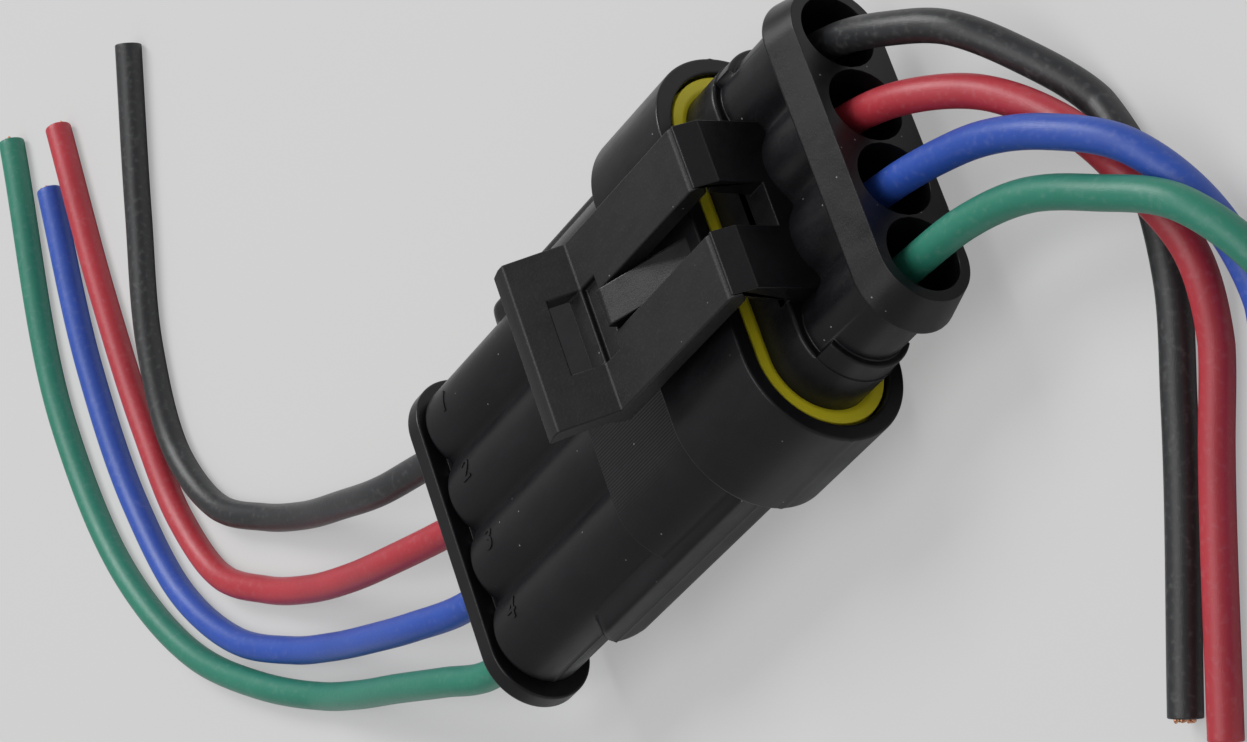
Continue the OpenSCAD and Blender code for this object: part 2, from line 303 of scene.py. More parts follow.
@dataclass(frozen=True)
class MouldedPlastic:
    """Black glass-filled plastic with the fine skin of its mould, tool marks and a little dust."""

    name: str
    colour: tuple[float, float, float] = srgb(15, 15, 18)
    roughness: float = 0.36
    grain: float = 0.16
    depth: float = 0.006
    dust: float = 0.35
    ridged: bool = False

    def ridges(self, s: Shader, at: Value) -> Value:
        """Fine tool lines along X on top of the cap's middle section: a sine of Y inside a soft window.

        Args:
            s: The shader.
            at: Coordinates in metres.

        Returns:
            Height of the lines, from 0 to 1.
        """
        low, high = PLACE.metres([22.1, -9.5, 4.65]), PLACE.metres([33.5, -3.0, 0.0])
        x, y, z = s.axes(at)
        line = 0.5 + 0.5 * (y * (2 * math.pi / (0.23 * MM))).sine()
        window = x.above(low[0], 0.05 * MM) * (1 - x.above(high[0], 0.05 * MM)) * z.above(low[2], 0.1 * MM)
        return line * window * y.above(low[1], 1.5 * MM) * (1 - y.above(high[1], 1.5 * MM))

    def make(self) -> bpy.types.Material:
        """Builds the material.

        Returns:
            The material.
        """
        s = Shader(self.name)
        at = s.where()
        skin = s.noise(at, self.grain, 2.0)
        drift = s.noise(at, 4.0, 3.0)
        scuff = s.noise(at, 0.9, 4.0, (0.35, 1, 1))
        cells = s.node("ShaderNodeTexVoronoi", {"feature": "F1"}, {"Vector": at, "Scale": 1 / (1.3 * MM)})
        picked = s.node(
            "ShaderNodeTexVoronoi", {"feature": "F1"}, {"Vector": at, "Scale": 1 / (1.3 * MM)}, out="Color"
        )
        chance = s.axes(picked)[0]
        speck = (1 - cells.above(0.045, 0.02)) * chance.above(1 - self.dust, 0.02)
        tint = s.blend(drift, tuple(0.8 * c for c in self.colour), tuple(1.3 * c for c in self.colour))
        tint = s.blend(skin.above(0.66, 0.1) * 0.35, tint, tuple(3.0 * c for c in self.colour))
        normal = s.bump(skin, self.depth, s.bump(drift, 0.05, strength=0.5))
        if self.ridged:
            normal = s.bump(self.ridges(s, at), 0.02, normal)
        s.set(
            Base_Color=s.blend(speck * 0.8, tint, srgb(150, 150, 152)),
            Roughness=self.roughness + 0.16 * (drift - 0.5) + 0.2 * (scuff - 0.5) + 0.1 * (skin - 0.5),
            Normal=normal,
            IOR=1.42,
        )
        return s.material


@dataclass(frozen=True)
class Silicone:
    """Soft sealing rubber: dull, slightly translucent-looking and clean."""

    name: str
    colour: tuple[float, float, float] = srgb(232, 218, 40)

    def make(self) -> bpy.types.Material:
        """Builds the material.

        Returns:
            The material.
        """
        s = Shader(self.name)
        at = s.where()
        skin = s.noise(at, 0.12, 3.0)
        drift = s.noise(at, 2.5, 2.0)
        s.set(
            Base_Color=s.blend(drift, tuple(0.86 * c for c in self.colour), self.colour),
            Roughness=0.46 + 0.2 * (drift - 0.5),
            Normal=s.bump(skin, 0.006),
            IOR=1.42,
        )
        return s.material


@dataclass(frozen=True)
class Insulation:
    """Extruded insulation: faint lines along the wire, handling marks and a soft shine."""

    name: str
    colour: tuple[float, float, float]
    roughness: float = 0.42
    mottle: float = 0.25

    def make(self) -> bpy.types.Material:
        """Builds the material on the wire's own UV: U along the wire, V round it.

        Returns:
            The material.
        """
        s = Shader(self.name)
        at = s.where()
        uv = s.node("ShaderNodeUVMap", {"uv_map": "wire"})
        drawn = s.node("ShaderNodeMapping", inputs={"Vector": uv, "Scale": (1.2, 9.0, 1.0)})
        lines = s.node("ShaderNodeTexNoise", {}, {"Vector": drawn, "Scale": 14.0, "Detail": 3.0})
        drift = s.noise(at, 5.0, 3.0)
        marks = s.noise(at, 0.5, 4.0)
        pale = tuple(min(1.0, 0.75 * c + 0.09) for c in self.colour)
        tint = s.blend(drift, tuple((1 - self.mottle) * c for c in self.colour), self.colour)
        s.set(
            Base_Color=s.blend(marks.above(0.62, 0.12) * 0.35, tint, pale),
            Roughness=self.roughness + 0.2 * (marks - 0.5) + 0.12 * (lines - 0.5),
            Normal=s.bump(lines, 0.012, s.bump(marks, 0.01)),
            IOR=1.5,
        )
        return s.material


@dataclass(frozen=True)
class BareMetal:
    """Plated or plain metal with drawing lines and a little tarnish."""

    name: str
    colour: tuple[float, float, float]
    dull: tuple[float, float, float]
    roughness: float = 0.3

    def make(self) -> bpy.types.Material:
        """Builds the material.

        Returns:
            The material.
        """
        s = Shader(self.name)
        at = s.where()
        lines = s.noise(at, 0.08, 3.0, (0.1, 1, 1))
        drift = s.noise(at, 1.2, 3.0)
        s.set(
            Base_Color=s.blend(drift.above(0.55, 0.2), self.colour, self.dull),
            Metallic=1.0,
            Roughness=self.roughness + 0.25 * (drift - 0.4) + 0.1 * (lines - 0.5),
            Normal=s.bump(lines, 0.004),
        )
        return s.material


@dataclass(frozen=True)
class Floor:
    """Plain pale ground that shows the camera an even tone and keeps the shadows."""

    name: str
    tone: float = 0.617
    shade: float = 0.45

    def make(self) -> bpy.types.Material:
        """Builds the material: seen directly it is mostly its own even tone.

        Returns:
            The material.
        """
        s = Shader(self.name)
        grain = s.noise(s.where(), 60.0, 2.0)
        pale = tuple([self.tone] * 3)
        s.set(Base_Color=s.blend(grain, tuple(0.985 * c for c in pale), pale), Roughness=0.9)
        glow = s.node("ShaderNodeEmission", {}, {"Color": (*pale, 1.0), "Strength": 1.0})
        rays = s.node("ShaderNodeLightPath")
        seen = Value(s, rays.socket.node.outputs["Is Camera Ray"])
        mixed = s.node("ShaderNodeMixShader", {}, {0: seen * (1 - self.shade)})
        s.tree.links.new(s.surface.outputs[0], mixed.socket.node.inputs[1])
        s.tree.links.new(glow.socket, mixed.socket.node.inputs[2])
        s.tree.links.new(mixed.socket, s.output.inputs["Surface"])
        return s.material


class Wire(Enum):
    """Circuits in order from the +Y side, by the colour of their wires."""

    BLACK = 1
    RED = 2
    BLUE = 3
    GREEN = 4


@dataclass
class Finishes:
    """Materials of the connector, each made once."""

    housing: bpy.types.Material = field(default_factory=MouldedPlastic("housing_black", ridged=True).make)
    lever: bpy.types.Material = field(
        default_factory=MouldedPlastic("lever_black", srgb(25, 25, 26), 0.46, 0.2, 0.012).make
    )
    plate: bpy.types.Material = field(
        default_factory=MouldedPlastic("plate_grey", srgb(66, 66, 70), 0.5, 0.2, 0.008, 0.1).make
    )
    seal: bpy.types.Material = field(default_factory=Silicone("seal_yellow").make)
    wire_seal: bpy.types.Material = field(default_factory=Silicone("wire_seal_dark", srgb(44, 44, 46)).make)
    tin: bpy.types.Material = field(
        default_factory=BareMetal("contact_tin", (0.72, 0.69, 0.6), (0.5, 0.44, 0.34)).make
    )
    copper: bpy.types.Material = field(
        default_factory=BareMetal("conductor_copper", (0.82, 0.45, 0.27), (0.38, 0.18, 0.1), 0.35).make
    )
    wires: dict[Wire, bpy.types.Material] = field(
        default_factory=lambda: {
            Wire.BLACK: Insulation("wire_black", srgb(44, 45, 47), 0.4, 0.3).make(),
            Wire.RED: Insulation("wire_red", srgb(184, 52, 64)).make(),
            Wire.BLUE: Insulation("wire_blue", srgb(46, 84, 180)).make(),
            Wire.GREEN: Insulation("wire_green", srgb(46, 130, 108)).make(),
        }
    )


# ------------------------------------------------------------------ surfaces


class Shell:
    """Gathers grids of points and makes one mesh of them."""

    def __init__(self) -> None:
        """Starts empty."""
        self._points: list[Array] = []
        self._quads: list[Array] = []
        self._uvs: list[Array] = []
        self._size = 0

    def grid(self, points: Array, closed: bool = False, uv: Array | None = None) -> "Shell":
        """Adds a grid of points, facing along columns x rows.

        Args:
            points: Array of rows, columns and 3, in millimetres.
            closed: Whether the last column joins the first.
            uv: UV of each point, if the surface has one.

        Returns:
            The shell itself.
        """
        rows, columns = points.shape[:2]
        index = np.arange(rows * columns).reshape(rows, columns) + self._size
        if closed:
            index = np.concatenate([index, index[:, :1]], axis=1)
        quads = np.stack([index[:-1, :-1], index[:-1, 1:], index[1:, 1:], index[1:, :-1]], axis=-1)
        self._points.append(points.reshape(-1, 3))
        self._quads.append(quads.reshape(-1, 4))
        self._uvs.append(np.zeros((rows * columns, 2)) if uv is None else uv.reshape(-1, 2))
        self._size += rows * columns
        return self

    def make(
        self, name: str, material: bpy.types.Material, sharp: float = 40.0, weld: float = 0.002, uv: str | None = None
    ) -> bpy.types.Object:
        """Makes the object: points that meet are merged, and only edges over the sharp angle stay creased.

        Args:
            name: Name of the object.
            material: Its finish.
            sharp: Angle in degrees above which an edge isn't smoothed.
            weld: Distance within which points are merged, in millimetres.
            uv: Name of its UV map, if it has one.

        Returns:
            The object, with its place in its mesh.
        """
        mesh = bpy.data.meshes.new(name)
        points = PLACE.metres(np.concatenate(self._points))
        quads = np.concatenate(self._quads)
        mesh.vertices.add(len(points))
        mesh.vertices.foreach_set("co", points.astype(np.float32).ravel())
        mesh.loops.add(quads.size)
        mesh.loops.foreach_set("vertex_index", quads.astype(np.int32).ravel())
        mesh.polygons.add(len(quads))
        mesh.polygons.foreach_set("loop_start", np.arange(0, quads.size, 4, dtype=np.int32))
        mesh.update(calc_edges=True)
        if uv is not None:
            layer = mesh.uv_layers.new(name=uv)
            layer.data.foreach_set("uv", np.concatenate(self._uvs)[quads.ravel()].astype(np.float32).ravel())
        clean(mesh, weld)
        mesh.set_sharp_from_angle(angle=math.radians(sharp))
        mesh.materials.append(material)
        obj = bpy.data.objects.new(name, mesh)
        bpy.context.scene.collection.objects.link(obj)
        return obj


def clean(mesh: bpy.types.Mesh, weld: float) -> None:
    """Merges points that meet and drops faces without area.

    Args:
        mesh: The mesh.
        weld: Distance within which points are merged, in millimetres.
    """
    work = bmesh.new()
    work.from_mesh(mesh)
    bmesh.ops.remove_doubles(work, verts=work.verts, dist=weld * MM)
    bmesh.ops.dissolve_degenerate(work, edges=work.edges, dist=0.2 * weld * MM)
    work.to_mesh(mesh)
    work.free()
    mesh.polygons.foreach_set("use_smooth", [True] * len(mesh.polygons))
    mesh.update()


def smooth_max(first: Array, second: Array, width: float) -> Array:
    """Larger of two, with a rounded inner corner: the larger plus a quarter of the width times overlap squared.

    Args:
        first: First values.
        second: Second values.
        width: Difference up to which the corner is rounded.

    Returns:
        The rounded maximum.
    """
    overlap = np.maximum(width - np.abs(first - second), 0) / width
    return np.maximum(first, second) + overlap**2 * width / 4


def rounded(corners: Array, radii: Sequence[float], steps: int = 5) -> Array:
    """Profile through corners, each replaced by a curve that starts and ends its radius away from it.

    The curve is the quadratic one through those two points with the corner as its handle. A row just outside
    each end of the curve keeps the flat sides flat. Every column has its own profile, and its own radius is never
    more than 0.45 of either side.

    Args:
        corners: Corner, column and 2.
        radii: Radius of each corner, 0 where the profile just passes.
        steps: Pieces of each curve.

    Returns:
        Row, column and 2.
    """
    rows: list[Array] = []
    for k, radius in enumerate(radii):
        here = corners[k]
        if radius <= 0 or k in (0, len(radii) - 1):
            rows.append(here)
            continue
        to_last, to_next = corners[k - 1] - here, corners[k + 1] - here
        len_last = np.linalg.norm(to_last, axis=-1, keepdims=True)
        len_next = np.linalg.norm(to_next, axis=-1, keepdims=True)
        cut = np.minimum(radius, 0.42 * np.minimum(len_last, len_next))
        unit_last = to_last / np.maximum(len_last, 1e-9)
        unit_next = to_next / np.maximum(len_next, 1e-9)
        start, end = here + cut * unit_last, here + cut * unit_next
        rows.append(start + 0.12 * cut * unit_last)
        for t in np.linspace(0, 1, steps + 1):
            rows.append((1 - t) ** 2 * start + 2 * t * (1 - t) * here + t**2 * end)
        rows.append(end + 0.12 * cut * unit_next)
    return np.stack(rows)


class Rays:
    """Rays that leave the row of circuits across X: up, round one end, down, and round the other end.

    Up and down rays start on the row between the outer circuits, and the others at the outer circuits, so that
    every outline of the housings is a reach along these rays, and all of them share their columns.
    """

    def __init__(self, pitch: float = 6.0, circuits: int = 4, along: int = 14, turn: int = 72, inner: int = 8) -> None:
        """Lays out the rays.

        Args:
            pitch: Distance between circuits.
            circuits: Number of circuits.
            along: Columns in half a pitch.
            turn: Pieces of the half turn at each end.
            inner: Pieces of the line between two circuits' shares.
        """
        self.circuits, self.along, self.turn, self.inner = circuits, along, turn, inner
        self.pitch = pitch
        self.half = pitch * (circuits - 1) / 2
        self.flat = 2 * along * (circuits - 1)
        y = np.linspace(self.half, -self.half, self.flat + 1)
        angle = np.linspace(0, math.pi, turn + 1)[1:-1]
        zero, one = np.zeros_like(y), np.ones_like(y)
        self.base = np.concatenate([
            np.stack([y, zero], 1), np.tile([-self.half, 0.0], (turn - 1, 1)),
            np.stack([-y, zero], 1), np.tile([self.half, 0.0], (turn - 1, 1)),
        ])
        self.aim = np.concatenate([
            np.stack([zero, one], 1), np.stack([-np.sin(angle), np.cos(angle)], 1),
            np.stack([zero, -one], 1), np.stack([np.sin(angle), -np.cos(angle)], 1),
        ])

    def circuit(self, number: int) -> float:
        """Y of a circuit, counted from 1 on the +Y side."""
        return self.half - (number - 1) * self.pitch

    def disc(self, y: float, z: float, radius: Array | float) -> Array:
        """Reach to the far side of a disc: along the ray to its nearest point, plus half the chord.

        Args:
            y: Y of its centre.
            z: Z of its centre.
            radius: Its radius, or one for each row.

        Returns:
            Reach for each row and column, 0 where the ray misses.
        """
        radius = np.atleast_1d(np.asarray(radius, float))[:, None]
        offset = self.base - [y, z]
        along = np.sum(offset * self.aim, axis=1)
        chord = radius**2 - np.sum(offset**2, axis=1) + along**2
        reach = -along + np.sqrt(np.maximum(chord, 0))
        return np.where((chord > 0) & (radius > 0), np.maximum(reach, 0), 0.0)

    def stadium(self, width: float, height: float, drop: float = 0.0) -> Array:
        """Reach to an outline with flat long sides and round ends.

        Args:
            width: Its width.
            height: Its height.
            drop: How far its middle lies below the row.

        Returns:
            Reach for each column, as one row.
        """
        side = (width - height) / 2
        ends = np.maximum(self.disc(side, -drop, height / 2), self.disc(-side, -drop, height / 2))
        up = np.where(self.aim[:, 1] >= 0, height / 2 - drop, height / 2 + drop)
        lift = up / np.maximum(np.abs(self.aim[:, 1]), 1e-6)
        reach_y = np.abs(self.base[:, 0] + lift * self.aim[:, 0])
        return np.maximum(ends, np.where(reach_y <= side + 1e-6, lift, 0.0)[None, :])

    def ends(self) -> Array:
        """1 on the two columns that run straight out to the narrow sides, 0 elsewhere."""
        return (np.abs(self.aim[:, 1]) < 0.01).astype(float)

    def place(self, profile: Array) -> Array:
        """Points of a loft: X, then the base plus the reach along the ray.

        Args:
            profile: Row, column, and X with reach.

        Returns:
            Row, column and 3.
        """
        across = self.base + profile[..., 1:2] * self.aim
        return np.concatenate([profile[..., :1], across], axis=-1)

    def share(self, number: int, row: Array) -> Array:
        """Closed loop round one circuit's share of an outline.

        Args:
            number: The circuit.
            row: Points of the outline, column and 3.

        Returns:
            Points of the loop, anticlockwise seen from +X.
        """
        a, flat = self.along, self.flat
        low = flat + self.turn
        first = max(0, (2 * number - 3) * a)
        last = min(flat, (2 * number - 1) * a)
        top = row[first:last + 1]
        bottom = row[low + flat - last:low + flat - first + 1]
        split = np.linspace(0, 1, self.inner + 1)[1:-1, None]
        left = row[flat + 1:low] if number == self.circuits else top[-1] + split * (bottom[0] - top[-1])
        right = row[low + flat + 1:] if number == 1 else bottom[-1] + split * (top[0] - bottom[-1])
        return np.concatenate([top, left, bottom, right])


def section(x: float, reach: Array) -> Array:
    """One corner row of a loft: X and the reach of each column."""
    reach = np.asarray(reach, float).reshape(-1)
    return np.stack([np.full_like(reach, x), reach], axis=-1)


def bore(
    rays: Rays, number: int, floor: Array, stages: Sequence[tuple[float, float, float]], face: Array, steps: int = 4
) -> Array:
    """Wall of one circuit's passage from the floor of a cavity to a rear or front face.

    Each ring is a rounded slot or a circle, and its points keep the angles of the two loops that it joins.

    Args:
        rays: The rays of the housing.
        number: The circuit.
        floor: Loop that the passage starts from.
        stages: X, half width and half height of each ring: equal halves give a circle.
        face: Loop that it ends in.
        steps: Not used.

    Returns:
        Row, column and 3.
    """
    centre = np.array([rays.circuit(number), 0.0])
    start = np.unwrap(np.arctan2(floor[:, 2], floor[:, 1] - centre[0]))
    end = np.unwrap(np.arctan2(face[:, 2], face[:, 1] - centre[0]))
    end += 2 * math.pi * np.round((start - end).mean() / (2 * math.pi))
    rows = [floor]
    for k, (x, half_y, half_z) in enumerate(stages):
        angle = start + (end - start) * (k + 1) / len(stages)
        cos, sin = np.cos(angle), np.sin(angle)
        if half_y == half_z:
            reach = np.full_like(angle, half_y)
        else:
            reach = 1 / (np.abs(cos / half_y) ** 8 + np.abs(sin / half_z) ** 8) ** (1 / 8)
        rows.append(np.stack([np.full_like(angle, x), centre[0] + reach * cos, reach * sin], axis=-1))
    rows.append(face)
    return np.stack(rows)


# ------------------------------------------------------------------ housings


@dataclass
class CapHousing:
    """Cap: flange, four barrels with rounded shoulders, rails, middle section and shroud, hollow from both sides."""

    finishes: Finishes
    rays: Rays
    flange_width: float = 28.0
    flange_height: float = 8.8
    flange_drop: float = 0.3
    flange_thickness: float = 1.6
    barrel_radius: float = 3.9
    barrel_start: float = 1.9
    shoulder: float = 0.6
    web_height: float = 5.0
    rail_start: float = 11.0
    rail_half: float = 2.05
    rail_edge: float = 14.2
    flash: float = 0.1
    middle_start: float = 22.0
    middle_width: float = 27.4
    middle_height: float = 9.6
    shroud_start: float = 33.6
    shroud_width: float = 31.6
    shroud_height: float = 13.6
    shroud_wall: float = 1.3
    mouth: float = 43.2
    cavity_floor: float = 23.4
    cavity_width: float = 24.8
    cavity_height: float = 7.0

    def body_reach(self, x: Array) -> Array:
        """Reach of the barrels, their web and the rails: a rounded maximum of discs that grow to full size.

        A barrel's radius at x is its full radius less the shoulder, plus the height of a circle of the shoulder's
        radius.

        Args:
            x: Stations.

        Returns:
            Reach, station and column.
        """
        rays = self.rays
        depth = np.clip(self.barrel_start + self.shoulder - x, 0, self.shoulder)
        radius = self.barrel_radius - self.shoulder + np.sqrt(self.shoulder**2 - depth**2)
        radius = np.where(x < self.barrel_start, 0.0, radius)
        web = rays.stadium(self.flange_width - 4, self.web_height)
        reach = np.repeat(web, len(x), axis=0)
        for number in range(1, rays.circuits + 1):
            barrel = rays.disc(rays.circuit(number), 0, radius)
            reach = smooth_max(reach, barrel, 0.35)
        return smooth_max(reach, self.rail_reach(x), 0.12) + self.flash * rays.ends()

    def rail_reach(self, x: Array) -> Array:
        """Reach of the ribs on the narrow sides: a superellipse of power 10 whose half height grows as a half circle.

        Args:
            x: Stations.

        Returns:
            Reach, station and column.
        """
        ahead = np.clip(self.rail_start + self.rail_half - x, 0, self.rail_half)
        half = np.maximum(np.sqrt(self.rail_half**2 - ahead**2), 0.02)[:, None]
        across, up = np.abs(self.rays.aim[:, 0]), np.abs(self.rays.aim[:, 1])
        reach = ((across / (self.rail_edge - self.rays.half)) ** 10 + (up / half) ** 10) ** -0.1
        outer = (np.abs(self.rays.base[:, 0]) > self.rays.half - 1e-6) & (across > 0)
        return np.where(outer & (x[:, None] >= self.rail_start), reach, 0.0)

    def outside(self) -> tuple[Array, Array, Array]:
        """Rows of the skin from the rear face round the mouth to the cavity's floor.

        Returns:
            The rows, with the outlines of the rear face and of the floor.
        """
        rays = self.rays
        flange = rays.stadium(self.flange_width, self.flange_height, self.flange_drop)[0]
        rail = self.rail_reach(np.array([self.middle_start + 1.0]))[0]
        middle = smooth_max(rays.stadium(self.middle_width, self.middle_height)[0], rail, 0.12)
        middle = middle + self.flash * rays.ends()
        shroud = rays.stadium(self.shroud_width, self.shroud_height)[0] + 0.6 * self.flash * rays.ends()
        socket = rays.stadium(self.shroud_width - 2 * self.shroud_wall, self.shroud_height - 2 * self.shroud_wall)[0]
        cavity = rays.stadium(self.cavity_width, self.cavity_height)[0]
        along = np.concatenate([
            np.linspace(self.barrel_start, self.barrel_start + self.shoulder, 8),
            np.linspace(3.0, self.rail_start - 0.05, 14),
            self.rail_start + self.rail_half * (1 - np.cos(np.linspace(0.02, math.pi / 2, 16))),
            np.linspace(13.6, self.middle_start - 0.3, 14),
        ])
        body = self.body_reach(along)
        first = self.body_reach(np.array([self.barrel_start - 0.01]))[0]
        last = self.body_reach(np.array([self.middle_start]))[0]
        start = section(0, 0.62 * flange)
        corners = [start, section(0, flange), section(self.flange_thickness, flange),
                   section(self.flange_thickness, first), section(self.barrel_start - 0.01, first)]
        radii = [0, 0.25, 0.2, 0.1, 0]
        corners += [section(x, row) for x, row in zip(along, body)]
        radii += [0.0] * len(along)
        corners += [
            section(self.middle_start, last), section(self.middle_start, middle), section(self.shroud_start, middle),
            section(self.shroud_start, shroud), section(self.mouth, shroud), section(self.mouth, socket),
            section(self.shroud_start + 1.2, socket), section(self.shroud_start + 1.2, cavity),
            section(self.cavity_floor, cavity), section(self.cavity_floor, 0.9 * cavity),
        ]
        radii += [0.12, 0.12, 0.2, 0.22, 0.2, 0.25, 0.3, 0.2, 0.3, 0]
        rows = self.rays.place(rounded(np.stack(corners), radii))
        return rows, rows[0], rows[-1]

    def build(self) -> bpy.types.Object:
        """Makes the housing: the skin, and each circuit's passage from the floor to the rear face.

        Returns:
            The housing.
        """
        shell = Shell()
        rows, rear, floor = self.outside()
        shell.grid(rows, closed=True)
        for number in range(1, self.rays.circuits + 1):
            stages = [
                (23.4, 0.95, 0.52), (22.2, 0.95, 0.52), (22.2, 1.85, 1.85), (7.2, 1.85, 1.85), (7.2, 2.55, 2.55),
                (0.5, 2.55, 2.55), (0.28, 2.57, 2.57), (0.12, 2.65, 2.65), (0.03, 2.78, 2.78), (0.0, 2.95, 2.95),
            ]
            passage = bore(self.rays, number, self.rays.share(number, floor), stages, self.rays.share(number, rear))
            shell.grid(passage, closed=True)
        housing = shell.make("cap_shell", self.finishes.housing)
        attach(housing, Body.CAP.value)
        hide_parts("cap_housing")
        self.catch()
        self.numerals()
        return housing

    def numerals(self, across: float = 1.9, x: float = 5.2, lift: float = 0.09) -> bpy.types.Object:
        """Makes the raised circuit numbers: flat letters cut fine and laid on their barrels' cylinders.

        A letter's point goes to the barrel's radius plus its own height, at its distance round the barrel.

        Args:
            across: Height of a number.
            x: Middle of the numbers along X.
            lift: Height of the numbers above the barrel.

        Returns:
            The numbers as one object.
        """
        work = bmesh.new()
        for number in range(1, self.rays.circuits + 1):
            curve = bpy.data.curves.new("number", "FONT")
            curve.body = str(number)
            curve.size = across * 1.35
            curve.extrude = lift
            curve.align_x, curve.align_y = "CENTER", "CENTER"
            letter = bpy.data.objects.new("number", curve)
            flat = bpy.data.meshes.new_from_object(letter)
            part = bmesh.new()
            part.from_mesh(flat)
            bmesh.ops.remove_doubles(part, verts=part.verts, dist=1e-4)
            bmesh.ops.triangulate(part, faces=part.faces)
            bmesh.ops.subdivide_edges(part, edges=part.edges, cuts=3, use_grid_fill=True)
            part.to_mesh(flat)
            part.free()
            points = np.zeros(3 * len(flat.vertices))
            flat.vertices.foreach_get("co", points)
            points = points.reshape(-1, 3)
            turn = points[:, 1] / self.barrel_radius + math.radians(12)
            radius = self.barrel_radius + points[:, 2]
            laid = np.stack([x + points[:, 0], self.rays.circuit(number) + radius * np.sin(turn),
                             radius * np.cos(turn)], axis=1)
            flat.vertices.foreach_set("co", PLACE.metres(laid).ravel())
            work.from_mesh(flat)
            bpy.data.objects.remove(letter)
            bpy.data.curves.remove(curve)
            bpy.data.meshes.remove(flat)
        bmesh.ops.recalc_face_normals(work, faces=work.faces)
        mesh = bpy.data.meshes.new("circuit_numbers")
        work.to_mesh(mesh)
        work.free()
        mesh.materials.append(self.finishes.housing)
        numbers = bpy.data.objects.new("circuit_numbers", mesh)
        bpy.context.scene.collection.objects.link(numbers)
        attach(numbers, Body.CAP.value)
        return numbers

    def catch(self) -> bpy.types.Object:
        """Makes the wedge on the shroud that the lever's bridge locks behind.

        Returns:
            The wedge.
        """
        steep, ramp_end, half = self.shroud_start + 1.0, self.mouth - 1.2, 1.5
        top, base = self.shroud_height / 2 + 3.3, self.shroud_height / 2 - 0.5
        x = np.array([steep, steep + 0.5, ramp_end])
        x_of = np.repeat(x[:, None], 2, axis=1)
        z_of = np.array([[base, top], [base, top], [base, base + 0.5]])
        wedge = block(x_of, z_of, [-half, half], np.ones((2, 1, 1)), "latch_catch", self.finishes.housing, 0.15)
        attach(wedge, Body.CAP.value)
        return wedge


@dataclass
class PlugHousing:
    """Plug: nose, collar that carries the seal, scalloped neck and the flange with the wires' mouths."""

    finishes: Finishes
    rays: Rays
    nose_start: float = 26.2
    nose_width: float = 24.2
    nose_height: float = 6.4
    seal_start: float = 39.2
    collar_width: float = 26.4
    collar_height: float = 8.4
    collar_end: float = 46.6
    neck_radius: float = 3.55
    web_height: float = 4.6
    lip_end: float = 48.4
    lip_edge: float = 11.1
    flange_start: float = 53.4
    flange_end: float = 56.4
    flange_width: float = 27.2
    flange_height: float = 8.5
    face_width: float = 25.5
    face_height: float = 7.5

    def neck_reach(self) -> Array:
        """Reach of the neck: the rounded maximum of its web and four barrels."""
        rays = self.rays
        reach = rays.stadium(18 + self.web_height, self.web_height)
        for number in range(1, rays.circuits + 1):
            reach = smooth_max(reach, rays.disc(rays.circuit(number), 0, self.neck_radius), 0.5)
        return reach[0]

    def build(self) -> bpy.types.Object:
        """Makes the housing: the skin from the nose to the flange, and the four passages.

        Returns:
            The housing.
        """
        rays = self.rays
        nose = rays.stadium(self.nose_width, self.nose_height)[0]
        collar = rays.stadium(self.collar_width, self.collar_height)[0]
        flange = rays.stadium(self.flange_width, self.flange_height)[0]
        face = rays.stadium(self.face_width, self.face_height)[0]
        neck = self.neck_reach()
        lips = np.where(np.abs(rays.base[:, 0] + collar * rays.aim[:, 0]) > self.lip_edge, collar - 0.1, neck)
        corners = [
            section(self.nose_start, 0.9 * nose), section(self.nose_start, nose), section(self.seal_start, nose),
            section(self.seal_start, collar), section(self.collar_end, collar), section(self.collar_end, lips),
            section(self.lip_end, lips), section(self.lip_end, neck),
            section(self.flange_start, neck), section(self.flange_start, flange), section(self.flange_end, face),
            section(self.flange_end, 0.99 * face - 0.12),
        ]
        radii = [0, 0.3, 0.2, 0.2, 0.3, 0.12, 0.2, 0.12, 0.35, 0.25, 0.3, 0]
        rows = rays.place(rounded(np.stack(corners), radii, 6))
        shell = Shell()
        shell.grid(rows, closed=True)
        for number in range(1, rays.circuits + 1):
            stages = [
                (56.4, 2.94, 2.94), (56.36, 2.92, 2.92), (56.25, 2.9, 2.9), (52.1, 2.9, 2.9), (52.1, 2.55, 2.55),
                (41.6, 2.55, 2.55), (41.6, 1.85, 1.85), (27.2, 1.85, 1.85), (27.2, 1.05, 0.62), (26.2, 1.05, 0.62),
            ]
            passage = bore(rays, number, rays.share(number, rows[-1]), stages, rays.share(number, rows[0]))
            shell.grid(passage, closed=True)
        housing = shell.make("plug_shell", self.finishes.housing)
        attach(housing, Body.PLUG.value)
        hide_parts("plug_housing")
        self.posts()
        return housing

    def posts(self) -> bpy.types.Object:
        """Makes the block on the neck and its two posts, whose tops are hollowed round the ends of the lever's arms.

        Above the arms' underside the posts' front faces follow a circle about the arms' ends.

        Returns:
            The posts.
        """
        z = np.array([1.0, self.collar_height / 2, 7.94, 8.2, 8.75, 9.5])
        x_of = np.repeat(np.array([45.6, 46.8, 48.5])[:, None], len(z), axis=1)
        seat = np.sqrt(np.maximum(0.81**2 - (z[2:] - 8.75) ** 2, 0))
        x_of[1, 2:] = 47.0 + seat
        x_of[2, 2:] = [48.5, 48.35, 48.03, 47.6]
        z_of = np.repeat(z[None, :], 3, axis=0)
        filled = np.zeros((2, 5, 3), bool)
        filled[:, 0, :] = True
        filled[1, 1:, ::2] = True
        posts = block(x_of, z_of, [-6.8, -1.75, 1.75, 6.8], filled, "lever_posts", self.finishes.housing, 0.1)
        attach(posts, Body.PLUG.value)
        return posts


